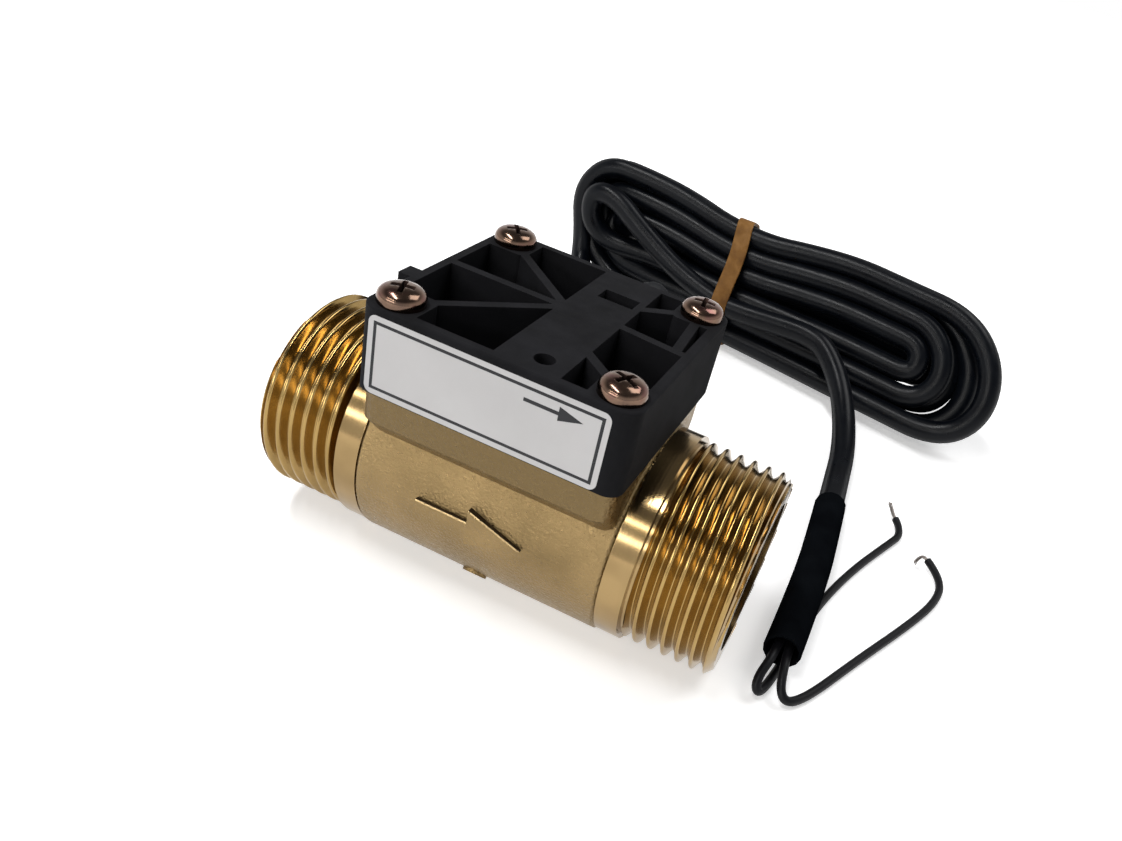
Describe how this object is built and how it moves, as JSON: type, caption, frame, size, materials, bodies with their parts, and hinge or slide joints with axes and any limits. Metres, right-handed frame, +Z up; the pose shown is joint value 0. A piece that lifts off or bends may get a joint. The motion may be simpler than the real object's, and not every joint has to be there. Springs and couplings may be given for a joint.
{
  "type": "paddle flow switch",
  "caption": "Paddle flow switch with a threaded brass pipe body, a ribbed plastic cover fixed by screws, and a long cable wound into a hank.",
  "frame": {"origin": "under the middle of the pipe body, on the surface that the switch stands on", "axes": "+X along the pipe in the direction of flow, +Z up towards the cover, +Y towards the side where the cable leaves"},
  "size_m": [0.123, 0.1471, 0.05],
  "materials": {
    "brass": "turned ends, sand-cast middle",
    "cover_plastic": "moulded, matte",
    "label": "satin",
    "screw_steel": "zinc plated, passivated",
    "seal_rubber": "matte",
    "paddle_plastic": "natural moulded",
    "magnet": "sintered",
    "stainless": "bright drawn",
    "glass": "clear",
    "resin": "poured",
    "cable_pvc": "glossy sheath",
    "sleeve_pvc": "matte shrink sleeve",
    "core_pvc": "satin insulation",
    "tinned_copper": "tinned strands",
    "band_rubber": "matte"
  },
  "bodies": {
    "switch_body": {"brass_body": "brass", "cover": "cover_plastic", "label_plate": "label", "cover_screws": "screw_steel", "cover_seal": "seal_rubber", "pivot_pin": "stainless", "return_spring": "stainless", "reed_glass": "glass", "reed_blades": "stainless", "inner_cores": "core_pvc", "reed_potting": "resin", "cable_lead": "cable_pvc", "cable_hank": "cable_pvc", "hank_band": "band_rubber", "cable_tail": "cable_pvc", "tail_sleeve": "sleeve_pvc", "core_wire_left": "core_pvc", "core_wire_right": "core_pvc", "wire_strands_left": "tinned_copper", "wire_strands_right": "tinned_copper"},
    "paddle": {"paddle": "paddle_plastic", "paddle_magnet": "magnet"}
  },
  "joints": [
    {"name": "paddle_swing", "type": "hinge", "parent": "switch_body", "child": "paddle", "pos_m": [-0.004, 0, 0.0294], "axis": [0, -1, 0], "range_deg": [0, 17.5], "stiffness_Nm_per_rad": 0.0094, "springref_deg": -8.59, "deforming": ["return_spring"]}
  ]
}
